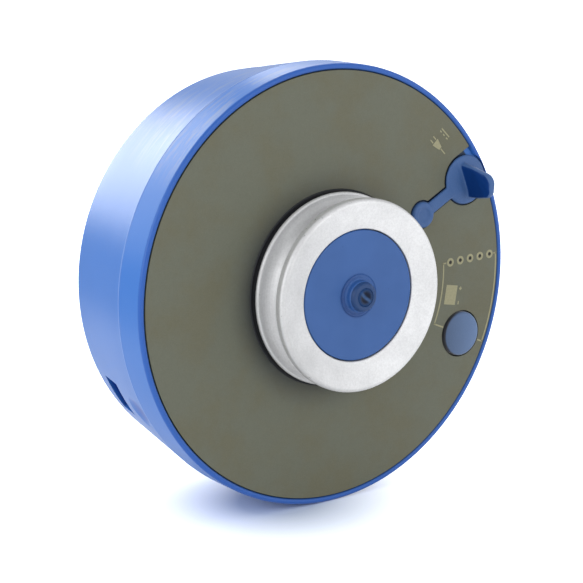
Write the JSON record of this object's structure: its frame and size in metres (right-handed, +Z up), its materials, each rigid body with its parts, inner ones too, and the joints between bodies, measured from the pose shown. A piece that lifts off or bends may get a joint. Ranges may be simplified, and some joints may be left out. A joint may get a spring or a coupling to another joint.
{
  "type": "wheelchair power assist hub unit",
  "caption": "Drum-shaped power unit for a power-assist wheel: drafted drum, flat face plate, spool-shaped lock knob, covered charging socket, power button, charge lights.",
  "frame": {"origin": "centre of the rear seat, at the mouth of the hub recess", "axes": "+Y along the drum's axis, out of the hub recess; -Y out of the face plate; +X to the right seen from the front; +Z up"},
  "size_m": [0.2064, 0.0953, 0.2064],
  "materials": {
    "shell_plastic": "satin",
    "face_metal": "matte",
    "knob_metal": "satin",
    "cap_plastic": "satin",
    "soft_rubber": "matte",
    "seal_rubber": "matte",
    "steel": "satin",
    "nylon": "matte",
    "cell_sleeve": "gloss",
    "nickel": "satin",
    "board": "satin",
    "black_plastic": "matte",
    "fuse_plastic": "gloss",
    "led": "gloss",
    "clear_plastic": "gloss",
    "contact_brass": "satin",
    "lead_red": "satin",
    "lead_black": "satin"
  },
  "bodies": {
    "housing": {"rear_housing": "shell_plastic", "front_bezel": "shell_plastic", "face_plate": "face_metal", "housing_seal": "seal_rubber", "housing_screws": "steel", "knob_seal_ring": "seal_rubber", "front_bush": "nylon", "rear_bush": "nylon", "cell_carrier": "nylon", "cell_1": "cell_sleeve", "cell_2": "cell_sleeve", "cell_3": "cell_sleeve", "cell_4": "cell_sleeve", "cell_5": "cell_sleeve", "cell_6": "cell_sleeve", "cell_7": "cell_sleeve", "cell_8": "cell_sleeve", "cell_9": "cell_sleeve", "cell_10": "cell_sleeve", "cell_11": "cell_sleeve", "cell_12": "cell_sleeve", "cell_13": "cell_sleeve", "cell_14": "cell_sleeve", "cell_15": "cell_sleeve", "cell_16": "cell_sleeve", "cell_17": "cell_sleeve", "cell_18": "cell_sleeve", "cell_19": "cell_sleeve", "cell_20": "cell_sleeve", "cell_links": "nickel", "insulating_disc": "nylon", "main_board": "board", "controller_chip": "black_plastic", "board_capacitors": "black_plastic", "fuse_holder": "black_plastic", "fuse": "fuse_plastic", "board_screws": "steel", "display_board": "board", "charge_leds": "led", "light_pipe": "clear_plastic", "power_switch": "black_plastic", "charging_socket": "black_plastic", "socket_contacts": "contact_brass", "strap_anchor": "soft_rubber", "hub_connector": "black_plastic", "hub_contacts": "contact_brass", "positive_lead": "lead_red", "negative_lead": "lead_black", "socket_lead": "lead_red"},
    "lock_knob": {"knob_ring": "knob_metal", "knob_cap": "cap_plastic", "knob_screws": "steel", "lock_tube": "steel", "tube_circlip": "steel", "friction_washer": "steel", "release_spring": "steel"},
    "release_pin": {"release_button": "steel", "push_rod": "steel"},
    "power_key": {"power_button": "soft_rubber"},
    "socket_cover": {"socket_plug": "soft_rubber"}
  },
  "joints": [
    {"name": "knob_turn", "type": "hinge", "parent": "housing", "child": "lock_knob", "pos_m": [0, -0.08, 0], "axis": [0, -1, 0], "range_deg": [0, 60]},
    {"name": "release_press", "type": "slide", "parent": "lock_knob", "child": "release_pin", "axis": [0, 1, 0], "range_m": [0, 0.005], "stiffness_N_per_m": 600, "springref_m": -0.004, "deforming": ["release_spring"]},
    {"name": "power_press", "type": "slide", "parent": "housing", "child": "power_key", "axis": [0, 1, 0], "range_m": [0, 0.0012], "stiffness_N_per_m": 1500, "springref_m": -0.001},
    {"name": "cover_open", "type": "hinge", "parent": "housing", "child": "socket_cover", "pos_m": [0.05825, -0.0708, 0.03229], "axis": [0.4848, 0, -0.8746], "range_deg": [0, 85]}
  ]
}
